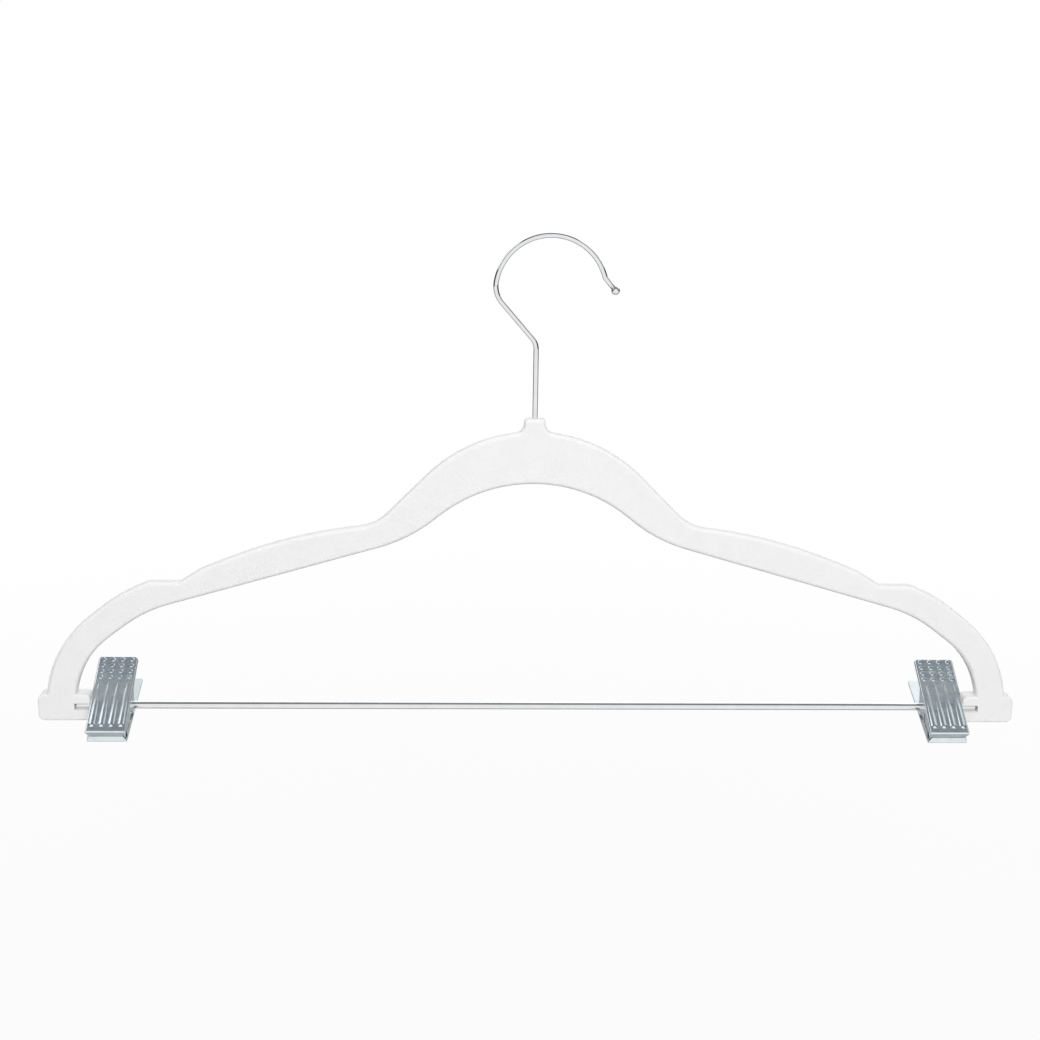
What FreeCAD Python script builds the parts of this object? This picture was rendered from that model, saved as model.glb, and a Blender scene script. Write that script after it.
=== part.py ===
import FreeCAD, Part
import math
import os

# Skirt hanger: a flocked plastic body with a swivelling wire hook, a steel rod held between two
# end lugs, and two sprung steel clips that slide and swing on the rod.
# Millimetres. X runs along the rod, Y from front (-) to back (+), Z up. Heights below are measured
# from the rod's axis; the whole model is then lowered so that the origin is the point inside the
# hook, straight above its stem, where a rail carries the hanger.

# ---- hanger body ----
half_width = 222.5            # middle of the hanger to the end of a lug
body_thickness = 6.0
body_edge_radius = 1.6
crown_top = 127.5             # top of the crown's circle above the rod
crown_radius = 67.0
crown_slope = 45.0            # degrees, where the crown's circle runs into the straight flank
crown_start = 9.0             # degrees, where the crown's circle leaves the neck
neck_top = 133.6
neck_half_width = 4.6
neck_taper = 0.3              # wider at the crown than at the top, each side
neck_flare = 4.0
neck_corner_radius = 1.8
valley_x = 69.8               # hollow between the crown and the shoulder
valley_radius = 21.0
shoulder_rise = 5.5           # above the straight line from that hollow to the notch's lip
shoulder_radius = 225.0
notch_lip_inset = 75.0        # strap notch: its step's lip and its floor's end, from the end
notch_end_inset = 51.5
notch_step_angle = 10.1       # degrees, the step down to its floor steeper than the shoulder's end
notch_lip_top = 64.6
notch_floor = 58.7
notch_radius = 2.4
notch_end_radius = 9.0
arch_top = 104.5              # underside of the crown
arch_radius = 66.0
arch_slope = 40.0             # degrees, where the arch's circle runs into the flank
arch_foot_x = 54.4
arch_foot_radius = 70.0
underside_slope = 16.0        # degrees below the horizontal
arm_width = 13.1              # width of the arm where it comes down into its lug
arm_inset = 3.8               # outer edge of the arm inside the lug's end
arm_outer_radius = 53.0       # turns the arm down into its lug
arm_outer_slope = 38.5        # degrees below the horizontal, where that turn starts
arm_inner_radius = 41.0
arm_inner_slope = 36.9
knuckle_inset = 37.5          # between the notch and the arm's turn, from the end
knuckle_radius = 70.0
elbow_radius = 60.0
arm_foot = -1.0               # the arm ends inside its lug

# ---- end lugs ----
lug_length = 23.4
lug_depth = 8.65              # front face level with the body's, back face behind it
lug_above_rod = 5.65
lug_below_rod = 6.6
lug_corner_radius = 2.6
lug_edge_radius = 0.8
seat_length = 7.2             # how far the rod's open seat runs into the lug
seat_end_gap = 0.3
seat_mouth_grip = 0.3         # the seat's mouth is this much narrower than the rod

# ---- rod ----
rod_radius = 1.7
rod_edge_radius = 0.6

# ---- hook ----
wire_radius = 1.15
stem_clearance = 0.06
bend_corner = 166.5           # height where the stem's axis meets the slant's axis
bend_radius = 7.0
bend_angle = 41.0             # degrees
slant_length = 22.85          # from that corner to the throat's turn
throat_radius = 11.0
throat_angle = 51.6           # degrees
loop_radius = 23.9
loop_angle = 152.7            # degrees
tip_radius = 3.0
tip_angle = 23.6              # degrees, back out
tip_length = 6.5
ball_radius = 1.9

# ---- collar that keeps the hook in its socket ----
collar_radius = 2.05
collar_height = 3.0
collar_edge_radius = 0.3
socket_top = 126.0            # ceiling of the socket's hollow
collar_top_clearance = 0.1
collar_side_clearance = 0.15
collar_floor_clearance = 0.6
stem_tail = 0.5               # wire below the collar

# ---- clips ----
clip_half_width = 8.94
clip_lug_gap = 0.7
clip_tilt = 61.3              # degrees, lips towards the front
jaw_lean = 6.5                # degrees between a jaw and the clip's middle plane
jaw_reach = 5.75              # rod's axis to the outer face of a jaw
sheet = 0.8
handle_height = 23.0          # above the rod's axis
lip_drop = 18.25              # below the rod's axis
handle_corner_radius = 1.6
bend_outer_radius = 0.7
rim_depth = 1.5               # turned edge along the handle
side_gap = 1.0                # between the two jaws' turned edges along the lower half
side_start = 5.0
side_full = 9.0
side_end = 14.2
lip_gap = 0.3
mitre = 1.54                  # each end of a lip is cut back by this much at its tip
ear_radius = 3.2
ear_root = 7.0
ear_clearance = 0.07          # hole round the rod
ear_side_clearance = 0.1      # between an outer and an inner ear
dot_pitch = 4.3
dot_rows = 4
dot_columns = 4
dot_row_pitch = 3.2
dot_top_margin = 2.0
dot_radius = 1.15             # at the foot of its sloping wall
dot_top_radius = 0.8
dot_height = 0.25
rib_half_width = 1.5
rib_height = 0.75             # at its lower end
rib_top = 8.6                 # top of the ribs above the rod's axis
rib_bottom_margin = 2.6

# ---- clip springs ----
spring_wire_radius = 0.45
spring_bore_clearance = 0.25
spring_turns = 8
spring_leg_reach = 15.0       # above the rod's axis
spring_leg_bend = 4.6         # height at which a leg comes to lie along its handle
spring_leg_clearance = 0.15

# ---- worked out ----
notch_lip_x = half_width - notch_lip_inset
notch_end_x = half_width - notch_end_inset
knuckle_x = half_width - knuckle_inset
lug_inner = half_width - lug_length
arm_outer = half_width - arm_inset
arm_inner = arm_outer - arm_width
rod_half_length = lug_inner + seat_length - seat_end_gap
half_thickness = body_thickness / 2
clip_x = lug_inner - clip_lug_gap - clip_half_width
hollow_height = collar_top_clearance + collar_height + collar_floor_clearance
hollow_radius = collar_radius + collar_side_clearance
collar_top = socket_top - collar_top_clearance
stem_bottom = collar_top - collar_height - stem_tail
fuzz = 1e-5                   # two places closer than this are one


def vec(x, y, z):
    return FreeCAD.Vector(x, y, z)


def slope(degrees):
    return math.tan(math.radians(degrees))


def circle_corner(centre_z, radius, start, end):
    """Corner of the two tangents to a circle on the Z axis, at angles from the vertical."""
    middle = math.radians((start + end) / 2)
    reach = radius / math.cos(math.radians((end - start) / 2))
    return reach * math.sin(middle), centre_z + reach * math.cos(middle)


def rounded_face(corners):
    """Face in the XZ plane through corners (x, z, radius), each rounded by a tangent arc."""
    spots = [vec(x, 0, z) for x, z, _ in corners]
    count = len(spots)
    sides = [(spots[i] - spots[i - 1]).Length for i in range(count)]
    halves = [(spots[i - 1] - spots[i]).getAngle(spots[(i + 1) % count] - spots[i]) / 2
              for i in range(count)]
    runs = [corners[i][2] / math.tan(halves[i]) for i in range(count)]
    joins = []
    for i in range(count):
        after = (i + 1) % count
        # A rounding is limited by the two sides that it shares with its neighbours.
        share = min(1, sides[i] / max(runs[i - 1] + runs[i], fuzz),
                    sides[after] / max(runs[i] + runs[after], fuzz))
        run = runs[i] * share
        radius = corners[i][2] * share
        back = (spots[i - 1] - spots[i]).normalize()
        on = (spots[after] - spots[i]).normalize()
        middle = spots[i] + (back + on).normalize() * (radius / math.sin(halves[i]) - radius)
        joins.append((spots[i] + back * run, middle, spots[i] + on * run))
    edges = []
    for i in range(count):
        start, middle, end = joins[i]
        if (end - start).Length > fuzz:
            edges.append(Part.Arc(start, middle, end).toShape())
        after = joins[(i + 1) % count][0]
        if (after - end).Length > fuzz:
            edges.append(Part.LineSegment(end, after).toShape())
    return Part.Face(Part.Wire(edges))


def slab(face, front, back):
    """Extrudes an XZ face from y = front to y = back."""
    moved = face.copy()
    moved.translate(vec(0, front, 0))
    return moved.extrude(vec(0, back - front, 0))


def side_prism(points, low_x, high_x):
    """Prism along X of a polygon given as (y, z)."""
    spots = [vec(low_x, y, z) for y, z in points]
    return Part.Face(Part.makePolygon(spots + spots[:1])).extrude(vec(high_x - low_x, 0, 0))


def block(low, high):
    size = high - low
    return Part.makeBox(size.x, size.y, size.z, low)


def mirrored(shape):
    return shape.mirror(vec(0, 0, 0), vec(1, 0, 0))


def edges_at_y(shape, places):
    """Edges that lie wholly in one of the planes y = place."""
    return [e for e in shape.Edges
            if any(e.BoundBox.YLength < fuzz and abs(e.BoundBox.YMin - y) < fuzz for y in places)]


def body_corners():
    """Right half of the body's outline, from the neck round the arm to the arch."""
    crown_x, crown_z = circle_corner(crown_top - crown_radius, crown_radius, crown_start, crown_slope)
    flare_x = neck_half_width + neck_taper
    flare_z = crown_z + (crown_x - flare_x) * slope(crown_start)
    valley_z = crown_z - (valley_x - crown_x) * slope(crown_slope)
    arch_x, arch_z = circle_corner(arch_top - arch_radius, arch_radius, 0, arch_slope)
    arch_foot_z = arch_z - (arch_foot_x - arch_x) * slope(arch_slope)
    shoulder_x = (valley_x + notch_lip_x) / 2
    shoulder_z = (valley_z + notch_lip_top) / 2 + shoulder_rise
    shoulder_end = math.degrees(math.atan2(shoulder_z - notch_lip_top, notch_lip_x - shoulder_x))
    notch_depth = notch_lip_top - notch_floor
    notch_foot_x = notch_lip_x + notch_depth / slope(shoulder_end + notch_step_angle)
    outer_corner = arm_outer_radius * slope((90 - arm_outer_slope) / 2)
    inner_corner = arm_inner_radius * slope((90 - arm_inner_slope) / 2)
    knuckle_z = outer_corner + (arm_outer - knuckle_x) * slope(arm_outer_slope)
    # The underside's line and the arm's inner line meet at the elbow.
    underside = slope(underside_slope)
    inner = slope(arm_inner_slope)
    rise = arch_foot_z + arch_foot_x * underside - inner_corner - arm_inner * inner
    elbow_x = rise / (underside - inner)
    elbow_z = arch_foot_z - (elbow_x - arch_foot_x) * underside
    return [
        (neck_half_width, neck_top, neck_corner_radius),
        (flare_x, flare_z, neck_flare),
        (crown_x, crown_z, crown_radius),
        (valley_x, valley_z, valley_radius),
        (shoulder_x, shoulder_z, shoulder_radius),
        (notch_lip_x, notch_lip_top, notch_radius),
        (notch_foot_x, notch_floor, notch_radius),
        (notch_end_x, notch_floor, notch_end_radius),
        (knuckle_x, knuckle_z, knuckle_radius),
        (arm_outer, outer_corner, arm_outer_radius),
        (arm_outer, arm_foot, 0),
        (arm_inner, arm_foot, 0),
        (arm_inner, inner_corner, arm_inner_radius),
        (elbow_x, elbow_z, elbow_radius),
        (arch_foot_x, arch_foot_z, arch_foot_radius),
        (arch_x, arch_z, arch_radius),
    ]


def lug():
    """Right-hand lug: a block with rounded corners, its seat for the rod open to the front."""
    radius = lug_corner_radius
    face = rounded_face([
        (lug_inner, lug_above_rod, radius), (half_width, lug_above_rod, radius),
        (half_width, -lug_below_rod, radius), (lug_inner, -lug_below_rod, lug_edge_radius)])
    front = -half_thickness
    back = front + lug_depth
    shape = slab(face, front, back)
    return shape.makeFillet(lug_edge_radius, edges_at_y(shape, (front, back)))


def rod_seat():
    """Round seat for the rod and its narrower mouth, cut from the right-hand lug."""
    start = lug_inner - 1
    end = lug_inner + seat_length
    bore = Part.makeCylinder(rod_radius, end - start, vec(start, 0, 0), vec(1, 0, 0))
    mouth = rod_radius - seat_mouth_grip / 2
    gate = block(vec(start, -half_thickness - 1, -mouth), vec(end, 0, mouth))
    return bore.fuse(gate)


def hook_socket():
    """Bore for the stem and the hollow in which its collar turns."""
    bore_radius = wire_radius + stem_clearance
    bore = Part.makeCylinder(bore_radius, neck_top + 1 - socket_top, vec(0, 0, socket_top))
    hollow = Part.makeCylinder(hollow_radius, hollow_height, vec(0, 0, socket_top - hollow_height))
    return bore.fuse(hollow)


def hanger_body():
    right = body_corners()
    left = [(-x, z, radius) for x, z, radius in reversed(right)]
    shape = slab(rounded_face(right + left), -half_thickness, half_thickness)
    rims = edges_at_y(shape, (-half_thickness, half_thickness))
    shape = shape.makeFillet(body_edge_radius, rims)
    lugs = [lug(), mirrored(lug())]
    shape = shape.fuse(lugs)
    seats = [rod_seat(), mirrored(rod_seat())]
    return shape.cut(seats + [hook_socket()]).removeSplitter()


def clip_rod():
    start = vec(-rod_half_length, 0, 0)
    shape = Part.makeCylinder(rod_radius, 2 * rod_half_length, start, vec(1, 0, 0))
    ends = [e for e in shape.Edges if e.BoundBox.XLength < fuzz]
    return shape.makeFillet(rod_edge_radius, ends)


class Walk:
    """A path in the XZ plane made of straight runs and tangent arcs."""

    def __init__(self, x, z, heading):
        self.spot = vec(x, 0, z)
        self.heading = math.radians(heading)
        self.edges = []
        self.centre = None

    def ahead(self, length):
        step = vec(math.cos(self.heading), 0, math.sin(self.heading)) * length
        self.edges.append(Part.LineSegment(self.spot, self.spot + step).toShape())
        self.spot = self.spot + step

    def turn(self, radius, degrees):
        """Positive turns to the left."""
        side = 1 if degrees > 0 else -1
        angle = math.radians(degrees)
        spoke = self.heading - side * math.pi / 2
        self.centre = self.spot - vec(math.cos(spoke), 0, math.sin(spoke)) * radius

        def at(share):
            a = spoke + angle * share
            return self.centre + vec(math.cos(a), 0, math.sin(a)) * radius

        self.edges.append(Part.Arc(self.spot, at(0.5), at(1)).toShape())
        self.spot = at(1)
        self.heading += angle


def hook_walk():
    """Centre line of the hook's wire; also gives the centre of its loop."""
    bend_run = bend_radius * math.tan(math.radians(bend_angle / 2))
    walk = Walk(0, stem_bottom, 90)
    walk.ahead(bend_corner - bend_run - stem_bottom)
    walk.turn(bend_radius, bend_angle)
    walk.ahead(slant_length - bend_run)
    walk.turn(throat_radius, -throat_angle)
    walk.turn(loop_radius, -loop_angle)
    loop_centre = walk.centre
    walk.turn(tip_radius, tip_angle)
    walk.ahead(tip_length)
    return walk, loop_centre


def rail_seat_height():
    """Height of the inside of the loop on the stem's axis."""
    centre = hook_walk()[1]
    inside = loop_radius - wire_radius
    return centre.z + math.sqrt(inside ** 2 - centre.x ** 2)


def hook_wire():
    walk = hook_walk()[0]
    profile = Part.Wire(Part.makeCircle(wire_radius, vec(0, 0, stem_bottom), vec(0, 0, 1)))
    wire = Part.Wire(walk.edges).makePipeShell([profile], True, True)
    return wire.fuse(Part.makeSphere(ball_radius, walk.spot))


def hook_collar():
    outer = Part.makeCylinder(collar_radius, collar_height, vec(0, 0, collar_top - collar_height))
    inner = Part.makeCylinder(wire_radius, collar_height, vec(0, 0, collar_top - collar_height))
    rims = [e for e in outer.Edges if e.BoundBox.ZLength < fuzz]
    return outer.makeFillet(collar_edge_radius, rims).cut(inner)


def dot(x, z):
    """Low flat-topped boss on the front face of a jaw, rooted in the sheet."""
    root = sheet / 2
    spread = (dot_radius - dot_top_radius) / dot_height
    return Part.makeCone(dot_radius + spread * root, dot_top_radius, root + dot_height,
                         vec(x, root - jaw_reach, z), vec(0, -1, 0))


def rib(x, bottom, top):
    """Rib on the front face of a jaw: a round lower end, then it runs out into the face."""
    ball = (rib_half_width ** 2 + rib_height ** 2) / (2 * rib_height)
    low = vec(x, ball - rib_height - jaw_reach, bottom + rib_half_width)
    high = vec(x, ball - jaw_reach, top)
    bar = Part.makeCylinder(ball, (high - low).Length, low, high - low)
    bar = bar.fuse(Part.makeSphere(ball, low))
    return bar.common(block(vec(x - ball, -jaw_reach - ball, bottom - ball),
                            vec(x + ball, -jaw_reach + sheet / 2, top)))


def embossing():
    shapes = []
    for column in range(dot_columns):
        x = (column - (dot_columns - 1) / 2) * dot_pitch
        for row in range(dot_rows):
            z = handle_height - dot_top_margin - row * dot_row_pitch
            shapes.append(dot(x, z))
        shapes.append(rib(x, rib_bottom_margin - lip_drop, rib_top))
    return shapes


def ear_outline():
    """Web and round end of an ear, running the clip's whole width."""
    width = clip_half_width
    disc = Part.makeCylinder(ear_radius, 2 * width, vec(-width, 0, 0), vec(1, 0, 0))
    rim = -jaw_reach + rim_depth
    web = side_prism([(-jaw_reach, ear_root), (rim, ear_root), (0, ear_radius), (0, -ear_radius),
                      (rim, -ear_root), (-jaw_reach, -ear_root)], -width, width)
    return disc.fuse(web)


def sides(outer):
    """The two upright walls of a jaw whose outer faces are at x = -outer and outer."""
    low = vec(outer - sheet, -jaw_reach, -lip_drop)
    high = vec(outer, ear_radius + 1, handle_height)
    wall = block(low, high)
    return wall.fuse(mirrored(wall))


def middle_plane(drop, gap):
    """How far behind the rod's axis a jaw ends at a depth below it, half a gap short of its twin."""
    return -drop * slope(jaw_lean) - gap / 2


def jaw(outer_ears):
    """Front jaw in its own frame, rod on the X axis: one bent sheet, embossed on its face."""
    width = clip_half_width
    plate_face = rounded_face([
        (-width, -lip_drop, 0), (-width, handle_height, handle_corner_radius),
        (width, handle_height, handle_corner_radius), (width, -lip_drop, 0)])
    outer = slab(plate_face, -jaw_reach, ear_radius + 1)
    bends = [e for e in edges_at_y(outer, (-jaw_reach,))
             if e.BoundBox.ZMin < handle_height - handle_corner_radius - fuzz]
    outer = outer.makeFillet(bend_outer_radius, bends)
    inside = sheet - jaw_reach
    plate = outer.common(block(vec(-width, -jaw_reach, -lip_drop), vec(width, inside, handle_height)))
    rim = -jaw_reach + rim_depth
    edge = side_prism([(-jaw_reach, handle_height), (rim, handle_height), (rim, -side_start),
                       (middle_plane(side_full, side_gap), -side_full),
                       (middle_plane(side_end, side_gap), -side_end),
                       (inside, -lip_drop), (-jaw_reach, -lip_drop)], -width, width)
    flanges = outer.common(sides(width)).common(edge)
    tip = middle_plane(lip_drop, lip_gap)
    lip_corners = [vec(-width, -jaw_reach, -lip_drop), vec(width, -jaw_reach, -lip_drop),
                   vec(width, inside, -lip_drop), vec(width - mitre, tip, -lip_drop),
                   vec(mitre - width, tip, -lip_drop), vec(-width, inside, -lip_drop)]
    lip_face = Part.Face(Part.makePolygon(lip_corners + lip_corners[:1]))
    lip = outer.common(lip_face.extrude(vec(0, 0, sheet)))
    ear_x = width if outer_ears else width - sheet - ear_side_clearance
    ears = sides(ear_x).common(ear_outline())
    if outer_ears:
        ears = ears.common(outer)
    shape = plate.fuse([flanges, lip, ears] + embossing())
    hole = Part.makeCylinder(rod_radius + ear_clearance, 2 * width, vec(-width, 0, 0), vec(1, 0, 0))
    shape = shape.cut(hole).removeSplitter()
    shape.rotate(vec(0, 0, 0), vec(1, 0, 0), jaw_lean)
    return shape


def spring():
    """Close-wound torsion spring round the rod, a leg up the inside of each handle."""
    wire = spring_wire_radius
    bore = rod_radius + spring_bore_clearance
    middle = bore + wire
    length = spring_turns * 2 * wire
    start = -length / 2
    edges = [Part.LineSegment(vec(-start, 0, middle), vec(-start, 0, bore)).toShape(),
             Part.LineSegment(vec(-start, 0, bore), vec(start, 0, bore)).toShape(),
             Part.LineSegment(vec(start, 0, bore), vec(start, 0, middle)).toShape()]
    for turn in range(spring_turns):
        x = start + turn * 2 * wire
        crest = vec(x + wire, 0, middle + wire)
        edges.append(Part.Arc(vec(x, 0, middle), crest, vec(x + 2 * wire, 0, middle)).toShape())
    coil = Part.Face(Part.Wire(Part.__sortEdges__(edges))).revolve(vec(0, 0, 0), vec(1, 0, 0), 360)
    rest = jaw_reach - sheet - spring_leg_clearance - wire      # the leg lies against the handle
    legs = []
    for side in (-1, 1):
        x = side * (length / 2 - wire)
        foot = vec(x, side * middle, 0)
        knee = vec(x, side * rest, spring_leg_bend)
        end = vec(x, side * rest, spring_leg_reach)
        parts = []
        for a, b in ((foot, knee), (knee, end)):
            parts += [Part.makeCylinder(wire, (b - a).Length, a, b - a), Part.makeSphere(wire, b)]
        for part in parts:
            part.rotate(vec(0, 0, 0), vec(1, 0, 0), -side * jaw_lean)
        legs += parts
    return coil.fuse(legs).removeSplitter()


def clip_pieces(x):
    """Front jaw, back jaw and spring of one clip, tilted on the rod at x."""
    back_jaw = jaw(False)
    back_jaw.rotate(vec(0, 0, 0), vec(0, 0, 1), 180)
    pieces = {"front_jaw": jaw(True), "back_jaw": back_jaw, "spring": spring()}
    for shape in pieces.values():
        shape.rotate(vec(0, 0, 0), vec(1, 0, 0), -clip_tilt)
        shape.translate(vec(x, 0, 0))
    return pieces


def build():
    nodes = {"hanger_body": hanger_body(), "clip_rod": clip_rod(),
             "hook": hook_wire(), "hook_collar": hook_collar()}
    for side, x in (("left", -clip_x), ("right", clip_x)):
        for name, shape in clip_pieces(x).items():
            nodes[side + "_clip_" + name] = shape
    return nodes


os.makedirs("parts", exist_ok=True)
drop = rail_seat_height()
for node, shape in build().items():
    shape.translate(vec(0, 0, -drop))
    box = shape.BoundBox
    print(node, "solids", len(shape.Solids), "valid", shape.isValid(), "volume", round(shape.Volume, 1),
          "box", [round(v, 2) for v in (box.XMin, box.YMin, box.ZMin, box.XMax, box.YMax, box.ZMax)])
    shape.exportStep("parts/" + node + ".step")
print("rod axis", round(-drop, 3), "loop centre", [round(v, 3) for v in hook_walk()[1]], "clip x", clip_x)
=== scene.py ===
import math
import bpy
from mathutils import Matrix, Vector


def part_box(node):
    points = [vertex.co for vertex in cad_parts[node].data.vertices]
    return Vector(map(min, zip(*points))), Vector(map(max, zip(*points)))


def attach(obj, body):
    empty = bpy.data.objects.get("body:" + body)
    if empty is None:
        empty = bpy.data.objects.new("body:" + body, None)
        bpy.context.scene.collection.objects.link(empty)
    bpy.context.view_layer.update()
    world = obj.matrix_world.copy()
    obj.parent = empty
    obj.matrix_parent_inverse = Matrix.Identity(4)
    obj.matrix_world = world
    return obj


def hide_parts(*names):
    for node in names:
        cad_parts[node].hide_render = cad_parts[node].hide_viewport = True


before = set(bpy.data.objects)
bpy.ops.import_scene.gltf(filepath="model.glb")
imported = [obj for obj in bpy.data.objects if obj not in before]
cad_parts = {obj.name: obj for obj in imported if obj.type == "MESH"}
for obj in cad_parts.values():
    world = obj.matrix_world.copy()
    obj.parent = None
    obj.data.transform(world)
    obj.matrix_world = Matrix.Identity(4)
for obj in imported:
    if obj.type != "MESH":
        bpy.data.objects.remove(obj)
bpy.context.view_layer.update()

print("frame loaded:", len(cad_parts), "nodes")

mm = 0.001
clipSides = ("left", "right")

# the rod lies level, so the middle of its box is its axis
rodLow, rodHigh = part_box("clip_rod")
rodHeight = (rodLow.z + rodHigh.z) / 2


class Link:
    # one output socket of a node, with the maths that the finishes below use
    def __init__(self, nodes, socket):
        self.nodes = nodes
        self.socket = socket

    def maths(self, operation, first, second):
        return self.nodes.add("ShaderNodeMath", {"operation": operation}, {0: first, 1: second})

    def __add__(self, other):
        return self.maths("ADD", self, other)

    def __radd__(self, other):
        return self.maths("ADD", other, self)

    def __mul__(self, other):
        return self.maths("MULTIPLY", self, other)

    def __rmul__(self, other):
        return self.maths("MULTIPLY", other, self)

    def size(self):
        return self.maths("ABSOLUTE", self, 0)


class Nodes:
    # a node tree in the making: of a finish, of the room or of the spring's coil
    def __init__(self, tree):
        self.tree = tree

    def add(self, kind, settings, values, output=0):
        node = self.tree.nodes.new(kind)
        for name, value in settings.items():
            if name == "stops":
                self.setStops(node.color_ramp, value)
            else:
                setattr(node, name, value)
        for name, value in values.items():
            self.feed(node.inputs[name], value)
        return Link(self, node.outputs[output])

    def setStops(self, ramp, stops):
        while len(ramp.elements) < len(stops):
            ramp.elements.new(1)
        for element, (position, grey) in zip(ramp.elements, stops):
            element.position = position
            element.color = (grey, grey, grey, 1)

    def feed(self, socket, value):
        if isinstance(value, Link):
            self.tree.links.new(value.socket, socket)
        elif socket.type == "RGBA":
            socket.default_value = (*value, 1)
        else:
            socket.default_value = value

    def find(self, kind):
        return next(node for node in self.tree.nodes if node.type == kind)

    def ramp(self, factor, *stops):
        return self.add("ShaderNodeValToRGB", {"stops": stops}, {"Fac": factor}, "Color")

    def blend(self, factor, first, second):
        # inputs 6 and 7 and output 2 are the Mix node's colours
        values = {"Factor": factor, 6: first, 7: second}
        return self.add("ShaderNodeMix", {"data_type": "RGBA"}, values, 2)


class Finish(Nodes):
    # a material in the making: its Principled shader and its object coordinates
    def __init__(self, name):
        self.material = bpy.data.materials.new(name)
        self.material.use_nodes = True
        super().__init__(self.material.node_tree)
        self.shader = self.find("BSDF_PRINCIPLED")
        self.place = self.add("ShaderNodeTexCoord", {}, {}, "Object")

    def noise(self, size, detail, stretch=(1, 1, 1)):
        # size is that of one blotch, in metres
        place = self.add("ShaderNodeMapping", {}, {"Vector": self.place, "Scale": stretch})
        values = {"Vector": place, "Scale": 1 / size, "Detail": detail, "Roughness": 0.5}
        return self.add("ShaderNodeTexNoise", {}, values, "Fac")

    def bump(self, height, strength, depth):
        values = {"Height": height, "Strength": strength, "Distance": depth}
        return self.add("ShaderNodeBump", {}, values)

    def set(self, **values):
        for name, value in values.items():
            self.feed(self.shader.inputs[name.replace("_", " ")], value)


def flockFinish():
    # short velvet pile: soft clouds where the nap lies differently, fine fibres, a faint mould line
    look = dict(white=(0.90, 0.89, 0.89), shade=(0.87, 0.86, 0.86), nap=7 * mm, fibre=0.35 * mm,
                napShare=0.6, spread=(0.35, 0.65), pile=0.12 * mm, relief=0.7, mouldLine=0.25 * mm,
                mouldRelief=0.8, roughness=0.95, sheen=0.2, sheenRoughness=0.5, gloss=0.15)
    finish = Finish("white_flock")
    fibres = finish.noise(look["fibre"], detail=3)
    nap = finish.noise(look["nap"], detail=4)
    low, high = look["spread"]
    tone = finish.ramp(nap * look["napShare"] + fibres * (1 - look["napShare"]), (low, 0), (high, 1))
    across = finish.add("ShaderNodeSeparateXYZ", {}, {0: finish.place}, "Y")
    line = look["mouldLine"] / mm
    offLine = finish.ramp(across.size() * (1 / mm), (line / 2, 0), (line, 1))
    finish.set(Base_Color=finish.blend(tone, look["shade"], look["white"]),
               Roughness=look["roughness"], Specular_IOR_Level=look["gloss"],
               Sheen_Weight=look["sheen"], Sheen_Roughness=look["sheenRoughness"],
               Normal=finish.bump(fibres + offLine * look["mouldRelief"], look["relief"], look["pile"]))
    return finish.material


def chromeFinish():
    # polished plate over drawn wire, so a few fine lines run along it
    look = dict(bright=(0.88, 0.89, 0.90), dull=(0.74, 0.76, 0.78), blotch=4 * mm, draw=0.4 * mm,
                along=0.05, polish=0.05, haze=0.08, relief=0.15, depth=0.02 * mm)
    finish = Finish("polished_chrome")
    blotches = finish.noise(look["blotch"], detail=3)
    lines = finish.noise(look["draw"], detail=2, stretch=(look["along"], 1, 1))
    finish.set(Metallic=1, Base_Color=finish.blend(blotches, look["dull"], look["bright"]),
               Roughness=look["polish"] + blotches * look["haze"],
               Normal=finish.bump(lines, look["relief"], look["depth"]))
    return finish.material


def zincFinish():
    # bright blue zinc plate: faint clouds and a fine grain
    look = dict(bright=(0.84, 0.90, 0.93), dull=(0.72, 0.79, 0.83), cloud=3.5 * mm, grain=0.35 * mm,
                cloudShare=0.8, spread=(0.34, 0.66), polish=0.16, haze=0.14, relief=0.2, depth=0.02 * mm)
    finish = Finish("bright_zinc")
    clouds = finish.noise(look["cloud"], detail=4)
    grain = finish.noise(look["grain"], detail=3)
    low, high = look["spread"]
    tone = finish.ramp(clouds * look["cloudShare"] + grain * (1 - look["cloudShare"]), (low, 0), (high, 1))
    finish.set(Metallic=1, Base_Color=finish.blend(tone, look["dull"], look["bright"]),
               Roughness=look["polish"] + clouds * look["haze"],
               Normal=finish.bump(grain, look["relief"], look["depth"]))
    return finish.material


def springFinish():
    # plain drawn steel, darker than the plated pieces
    look = dict(bright=(0.62, 0.64, 0.66), dull=(0.38, 0.40, 0.43), grain=0.6 * mm, polish=0.25, haze=0.2)
    finish = Finish("spring_steel")
    grain = finish.noise(look["grain"], detail=3)
    finish.set(Metallic=1, Base_Color=finish.blend(grain, look["dull"], look["bright"]),
               Roughness=look["polish"] + grain * look["haze"])
    return finish.material


def dress(node, material):
    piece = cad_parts[node]
    for slot in piece.material_slots:
        slot.material = material


finishes = dict(flock=flockFinish(), chrome=chromeFinish(), zinc=zincFinish(), spring=springFinish())
dress("hanger_body", finishes["flock"])
for node in ("clip_rod", "hook", "hook_collar"):
    dress(node, finishes["chrome"])
for side in clipSides:
    dress(side + "_clip_front_jaw", finishes["zinc"])
    dress(side + "_clip_back_jaw", finishes["zinc"])
    dress(side + "_clip_spring", finishes["spring"])
print("finishes made")


def newPiece(name, content):
    piece = bpy.data.objects.new(name, content)
    bpy.context.scene.collection.objects.link(piece)
    return piece


def asMesh(holder, name):
    # the evaluated shape of a curve or of a geometry node object, as a plain mesh
    shape = holder.evaluated_get(bpy.context.evaluated_depsgraph_get())
    mesh = bpy.data.meshes.new_from_object(shape)
    mesh.name = name
    bpy.data.objects.remove(holder)
    return mesh


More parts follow.
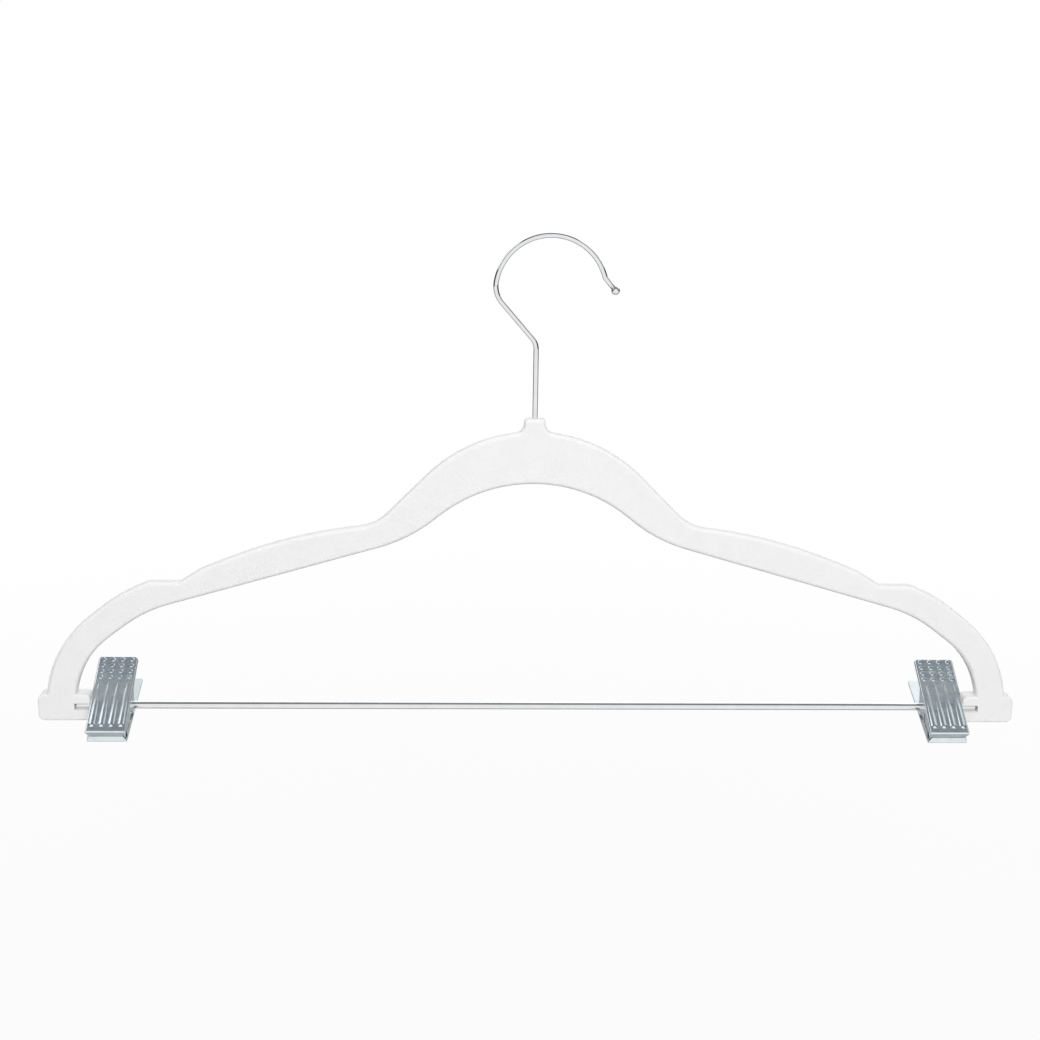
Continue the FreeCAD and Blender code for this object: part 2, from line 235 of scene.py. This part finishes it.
def wireMesh(name, points, radius, sides, swell=None):
    # round wire along the points; swell gives its thickness at each one, as a share of the radius
    line = bpy.data.curves.new(name + "_line", "CURVE")
    line.dimensions = "3D"
    line.bevel_depth = radius
    line.bevel_resolution = sides // 2 - 2  # a round bevel has four sides and two more for each step
    line.use_fill_caps = True
    path = line.splines.new("POLY")
    path.points.add(len(points) - 1)
    for point, spot, share in zip(path.points, points, swell or [1] * len(points)):
        point.co = (*spot, 1)
        point.radius = share
    path.use_smooth = True
    return asMesh(newPiece(name + "_maker", line), name)


def lathe(profile, sides):
    # a closed solid turned about the X axis from (x, radius) points; its first and last radius are 0
    spots = [(profile[0][0], 0, 0)]
    faces = []
    rings = profile[1:-1]
    for x, radius in rings:
        for side in range(sides):
            turned = 2 * math.pi * side / sides
            spots.append((x, radius * math.cos(turned), radius * math.sin(turned)))
    spots.append((profile[-1][0], 0, 0))
    last = len(spots) - 1
    for side in range(sides):
        after = (side + 1) % sides
        faces.append((0, 1 + after, 1 + side))
        for ring in range(len(rings) - 1):
            start = 1 + ring * sides
            faces.append((start + side, start + after, start + sides + after, start + sides + side))
        start = 1 + (len(rings) - 1) * sides
        faces.append((last, start + side, start + after))
    mesh = bpy.data.meshes.new("lathe")
    mesh.from_pydata(spots, [], faces)
    for face in mesh.polygons:
        face.use_smooth = True
    return mesh


def roundEnd(x, radius, corner, steps):
    # quarter round from a flat end at x, which faces -X, to the full radius
    points = []
    for step in range(steps + 1):
        turned = math.pi / 2 * step / steps
        points.append((x + corner * (1 - math.cos(turned)), radius - corner + corner * math.sin(turned)))
    return points


# wire and ball are radii, bottom and bendCorner are heights over the rod's axis, and bend, throat,
# loop and tip are turns in degrees
hook = dict(wire=1.15 * mm, bottom=122.4 * mm, bendCorner=166.5 * mm, bendRadius=7 * mm, bend=41.0,
            slant=22.85 * mm, throatRadius=11 * mm, throat=51.6, loopRadius=23.9 * mm, loop=152.7,
            tipRadius=3 * mm, tip=23.6, tipLength=6.5 * mm, ball=1.9 * mm, ballSteps=24,
            ballGap=0.04,  # radians left open at the ball's pole, which the wire's cap closes
            sides=32, step=3.0)  # step is the turn, in degrees, between two points of a bend


def hookPoints():
    # the wire's middle line, from inside the neck round the loop to the ball; positive turns go left
    bendRun = hook["bendRadius"] * math.tan(math.radians(hook["bend"] / 2))
    moves = ((0, hook["bendCorner"] - bendRun - hook["bottom"]), (hook["bendRadius"], hook["bend"]),
             (0, hook["slant"] - bendRun), (hook["throatRadius"], -hook["throat"]),
             (hook["loopRadius"], -hook["loop"]), (hook["tipRadius"], hook["tip"]), (0, hook["tipLength"]))
    spot = Vector((0, 0, rodHeight + hook["bottom"]))
    heading = math.pi / 2
    points = [spot]
    for radius, amount in moves:
        if radius == 0:
            spot = spot + Vector((math.cos(heading), 0, math.sin(heading))) * amount
            points.append(spot)
            continue
        side = math.copysign(1, amount)
        spoke = heading - side * math.pi / 2
        centre = spot - Vector((math.cos(spoke), 0, math.sin(spoke))) * radius
        steps = max(4, round(abs(amount) / hook["step"]))
        for step in range(1, steps + 1):
            turned = spoke + math.radians(amount) * step / steps
            spot = centre + Vector((math.cos(turned), 0, math.sin(turned))) * radius
            points.append(spot)
        heading += math.radians(amount)
    return points


def hookMesh():
    # the ball is the wire itself, swelling from its own radius and closing at the far side
    points = hookPoints()
    centre = points.pop()
    ahead = (centre - points[-1]).normalized()
    swell = [1] * len(points)
    start = math.asin(hook["wire"] / hook["ball"])
    end = math.pi - hook["ballGap"]
    for step in range(hook["ballSteps"] + 1):
        turned = start + (end - start) * step / hook["ballSteps"]
        points.append(centre - ahead * hook["ball"] * math.cos(turned))
        swell.append(hook["ball"] * math.sin(turned) / hook["wire"])
    mesh = wireMesh("hook_wire", points, hook["wire"], hook["sides"], swell)
    mesh.materials.append(finishes["chrome"])
    return mesh


hookPiece = newPiece("hook_wire", hookMesh())
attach(hookPiece, "hook")
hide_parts("hook")

rod = dict(radius=1.7 * mm, corner=0.6 * mm, cornerSteps=6, sides=48)
rodEnd = [(rodLow.x, 0)] + roundEnd(rodLow.x, rod["radius"], rod["corner"], rod["cornerSteps"])
rodMesh = lathe(rodEnd + [(-x, radius) for x, radius in reversed(rodEnd)], rod["sides"])
rodMesh.transform(Matrix.Translation((0, 0, rodHeight)))
rodMesh.materials.append(finishes["chrome"])
rodPiece = newPiece("clip_rod_steel", rodMesh)
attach(rodPiece, "hanger")
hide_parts("clip_rod")
print("hook bent, rod turned")


# a torsion spring is a coil round the rod with a leg up each handle; wire and bore are radii, and
# halfLength is measured along the rod
spring = dict(wire=0.45 * mm, bore=1.95 * mm, halfLength=3.15 * mm, turns=6.5, endTurns=1.0,
              legOut=4.35 * mm, kneeRise=4.6 * mm, legRise=15 * mm, kneeRound=1.2 * mm,
              tilt=61.3, lean=6.5,  # degrees: how far the clip tips back, and each leg from its middle
              wireSides=14, pointsPerTurn=28)


def coilTree():
    # a helix along X, swept with round wire; its inputs are the sizes of one spring
    tree = bpy.data.node_groups.new("springCoil", "GeometryNodeTree")
    kinds = (("Turns", "Float"), ("Radius", "Float"), ("Length", "Float"), ("Wire Radius", "Float"),
             ("Wire Sides", "Int"), ("Points Per Turn", "Int"), ("Material", "Material"))
    for label, kind in kinds:
        tree.interface.new_socket(name=label, in_out="INPUT", socket_type="NodeSocket" + kind)
    tree.interface.new_socket(name="Geometry", in_out="OUTPUT", socket_type="NodeSocketGeometry")
    nodes = Nodes(tree)
    inputs = tree.nodes.new("NodeGroupInput").outputs
    sizes = {label: Link(nodes, inputs[label]) for label, kind in kinds}
    spiral = nodes.add("GeometryNodeCurveSpiral", {}, {
        "Resolution": sizes["Points Per Turn"], "Rotations": sizes["Turns"], "Height": sizes["Length"],
        "Start Radius": sizes["Radius"], "End Radius": sizes["Radius"]}, "Curve")
    shift = nodes.add("ShaderNodeCombineXYZ", {}, {"X": sizes["Length"] * -0.5})
    laid = nodes.add("GeometryNodeTransform", {}, {
        "Geometry": spiral, "Translation": shift, "Rotation": (0, math.pi / 2, 0)})
    section = nodes.add("GeometryNodeCurvePrimitiveCircle", {}, {
        "Radius": sizes["Wire Radius"], "Resolution": sizes["Wire Sides"]}, "Curve")
    swept = nodes.add("GeometryNodeCurveToMesh", {}, {
        "Curve": laid, "Profile Curve": section, "Fill Caps": True})
    smooth = nodes.add("GeometryNodeSetShadeSmooth", {}, {"Geometry": swept})
    real = nodes.add("GeometryNodeRealizeInstances", {}, {"Geometry": smooth})
    painted = nodes.add("GeometryNodeSetMaterial", {}, {"Geometry": real, "Material": sizes["Material"]})
    nodes.feed(tree.nodes.new("NodeGroupOutput").inputs["Geometry"], painted)
    return tree


def clipPlace(x, lean=0):
    # from a jaw's own frame, rod along X and handle up, to its place on the rod
    turn = Matrix.Rotation(math.radians(lean - spring["tilt"]), 4, "X")
    return Matrix.Translation((x, 0, rodHeight)) @ turn


def coilMesh(tree, name, x):
    # the turns between the legs' own end turns
    holder = newPiece(name + "_maker", bpy.data.meshes.new(name + "_maker"))
    modifier = holder.modifiers.new("coil", "NODES")
    modifier.node_group = tree
    pitch = 2 * spring["halfLength"] / spring["turns"]
    turns = spring["turns"] - 2 * spring["endTurns"]
    values = {"Turns": turns, "Radius": spring["bore"] + spring["wire"], "Length": turns * pitch,
              "Wire Radius": spring["wire"], "Wire Sides": spring["wireSides"],
              "Points Per Turn": spring["pointsPerTurn"], "Material": finishes["spring"]}
    for item in tree.interface.items_tree:
        if item.in_out == "INPUT":
            modifier[item.identifier] = values[item.name]
    mesh = asMesh(holder, name)
    mesh.transform(clipPlace(x))
    return mesh


def legPoints(side):
    # down the handle, round the knee and once round the rod, in the jaw's own frame; side is -1 for
    # the front leg and 1 for the back one
    radius = spring["bore"] + spring["wire"]
    pitch = 2 * spring["halfLength"] / spring["turns"]
    x = side * spring["halfLength"]
    top = Vector((x, side * spring["legOut"], spring["legRise"]))
    knee = Vector((x, side * spring["legOut"], spring["kneeRise"]))
    foot = Vector((x, side * radius, 0))
    before = knee + (top - knee).normalized() * spring["kneeRound"]
    after = knee + (foot - knee).normalized() * spring["kneeRound"]
    points = [top, before.lerp(top, 0.5), before, before.lerp(knee, 0.5).lerp(after.lerp(knee, 0.5), 0.5),
              after, after.lerp(foot, 0.6)]
    steps = round(spring["pointsPerTurn"] * spring["endTurns"])
    for step in range(steps + 1):
        turned = 2 * math.pi * step / spring["pointsPerTurn"]
        points.append(Vector((x - side * pitch * turned / (2 * math.pi),
                              side * radius * math.cos(turned), -radius * math.sin(turned))))
    return points


springTree = coilTree()
for side in clipSides:
    clip = side + "_clip"
    low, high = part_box(clip + "_spring")
    clipX = (low.x + high.x) / 2
    coil = newPiece(clip + "_spring_coil", coilMesh(springTree, clip + "_spring_coil", clipX))
    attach(coil, clip + "_slider")
    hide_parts(clip + "_spring")
    for end, hand in (("front", -1), ("back", 1)):
        name = clip + "_spring_" + end + "_leg"
        mesh = wireMesh(name, legPoints(hand), spring["wire"], spring["wireSides"])
        mesh.transform(clipPlace(clipX, -hand * spring["lean"]))
        mesh.materials.append(finishes["spring"])
        leg = newPiece(name, mesh)
        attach(leg, clip + "_" + end)
        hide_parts(clip + "_spring")
print("springs wound")


# the room around the hanger, in metres from the rail's seat
studio = dict(floor=-0.42, floorHalf=3.0, white=0.95, dark=0.03,
              edges=(0.11, 0.29, 0.87, 0.95),  # from front (0) to back (1): white, dark, dark, white
              zenith=(0.84, 0.99), overhead=(0.22, 0.255, 0.285),  # steepness and colour of the ceiling
              aim=(0, 0, -0.13))  # about the hanger's middle, which every lamp faces

# inMetal says whether polished metal mirrors the lamp itself or only the room
lamps = dict(key=dict(spot=(0.1, -1.25, 0.75), size=1.0, power=15, inMetal=False),
             leftBox=dict(spot=(-1.0, 0.2, 0.75), size=0.9, power=3.5, inMetal=True),
             rightBox=dict(spot=(1.0, 0.2, 0.75), size=0.9, power=2, inMetal=True),
             rear=dict(spot=(0.2, 1.2, 0.8), size=2.0, power=12, inMetal=True))


def addCamera():
    # the photograph's own viewpoint, above the rod and a little to the left of the hook
    shot = dict(lens=53.18, sensor=36, across=-28.65 * mm, before=661.3 * mm, aboveRod=254.0 * mm,
                yaw=1.97, pitch=14.11, roll=0.85)
    yaw = math.radians(shot["yaw"])
    pitch = math.radians(shot["pitch"])
    roll = math.radians(shot["roll"])
    ahead = Vector((math.sin(yaw) * math.cos(pitch), math.cos(yaw) * math.cos(pitch), -math.sin(pitch)))
    level = Vector((math.cos(yaw), -math.sin(yaw), 0))
    upright = level.cross(ahead)
    right = level * math.cos(roll) + upright * math.sin(roll)
    up = upright * math.cos(roll) - level * math.sin(roll)
    turn = Matrix((right, up, -ahead)).transposed().to_4x4()
    lens = bpy.data.cameras.new("camera")
    lens.sensor_width = shot["sensor"]
    lens.lens = shot["lens"]
    camera = newPiece("camera", lens)
    camera.matrix_world = Matrix.Translation((shot["across"], -shot["before"],
                                              rodHeight + shot["aboveRod"])) @ turn
    bpy.context.scene.camera = camera


def addLamp(name, spot, size, power, inMetal):
    lamp = bpy.data.lights.new(name, "AREA")
    lamp.size = size
    lamp.energy = power
    holder = newPiece(name, lamp)
    holder.visible_glossy = inMetal
    aim = Vector(studio["aim"]) - Vector(spot)
    holder.matrix_world = Matrix.Translation(spot) @ aim.to_track_quat("-Z", "Y").to_matrix().to_4x4()


def addWorld():
    # white to the lens; the metal sees white behind the camera and behind the hanger, a blue grey
    # overhead, and dark in between, which draws its edges
    world = bpy.data.worlds.new("studio")
    world.use_nodes = True
    room = Nodes(world.node_tree)
    way = room.add("ShaderNodeTexCoord", {}, {}, "Generated")
    depth = room.add("ShaderNodeSeparateXYZ", {}, {0: way}, "Y")
    height = room.add("ShaderNodeSeparateXYZ", {}, {0: way}, "Z")
    along = room.add("ShaderNodeMapRange", {}, {"Value": depth, "From Min": -1})
    greys = (studio["white"], studio["dark"], studio["dark"], studio["white"])
    around = room.ramp(along, *zip(studio["edges"], greys))
    low, high = studio["zenith"]
    rise = room.add("ShaderNodeMapRange", {"interpolation_type": "SMOOTHSTEP"},
                    {"Value": height, "From Min": low, "From Max": high})
    mirrored = room.blend(rise, around, studio["overhead"])
    seen = room.add("ShaderNodeLightPath", {}, {}, "Is Camera Ray")
    room.feed(room.find("BACKGROUND").inputs["Color"], room.blend(seen, mirrored, (1, 1, 1)))
    bpy.context.scene.world = world


def paperFinish():
    # white to the lens, with a share of its own shading near the hanger, so that it keeps the shadow;
    # the metal sees white paper in front of the hanger and grey card under and behind it, which draws
    # its undersides
    look = dict(bright=(0.52, 0.52, 0.52), dull=(0.48, 0.48, 0.48), grain=30 * mm, roughness=0.9,
                bare=0.93, fade=(0.36, 1.2),  # the white's share, and metres over which it becomes all
                cardEdge=(0.03, 0.09))  # metres in front of the hanger where card gives way to paper
    finish = Finish("white_paper")
    seen = finish.add("ShaderNodeLightPath", {}, {}, "Is Camera Ray")
    mirrored = finish.add("ShaderNodeLightPath", {}, {}, "Is Glossy Ray")
    near, far = look["cardEdge"]
    depth = finish.add("ShaderNodeSeparateXYZ", {}, {0: finish.place}, "Y")
    front = finish.ramp(depth * -10, (near * 10, 0), (far * 10, studio["white"]))
    near, far = look["fade"]
    half = studio["floorHalf"]
    away = finish.add("ShaderNodeVectorMath", {"operation": "LENGTH"}, {0: finish.place}, "Value")
    bare = finish.ramp(away * (1 / half), (near / half, look["bare"]), (far / half, 1))
    grain = finish.noise(look["grain"], detail=2)
    finish.set(Base_Color=finish.blend(grain, look["dull"], look["bright"]), Roughness=look["roughness"])
    glow = finish.add("ShaderNodeEmission", {}, {"Color": (1, 1, 1), "Strength": 1.0})
    shaded = Link(finish, finish.shader.outputs[0])
    mixed = finish.add("ShaderNodeMixShader", {}, {0: seen * bare + mirrored * front, 1: shaded, 2: glow})
    finish.feed(finish.find("OUTPUT_MATERIAL").inputs["Surface"], mixed)
    return finish.material


def addFloor():
    half = studio["floorHalf"]
    z = studio["floor"]
    mesh = bpy.data.meshes.new("floor")
    mesh.from_pydata([(-half, -half, z), (half, -half, z), (half, half, z), (-half, half, z)], [],
                     [(0, 1, 2, 3)])
    mesh.materials.append(paperFinish())
    newPiece("floor", mesh)


addCamera()
addWorld()
addFloor()
for name, lamp in lamps.items():
    addLamp(name, **lamp)
bpy.context.scene.view_settings.view_transform = "Standard"
print("studio ready")
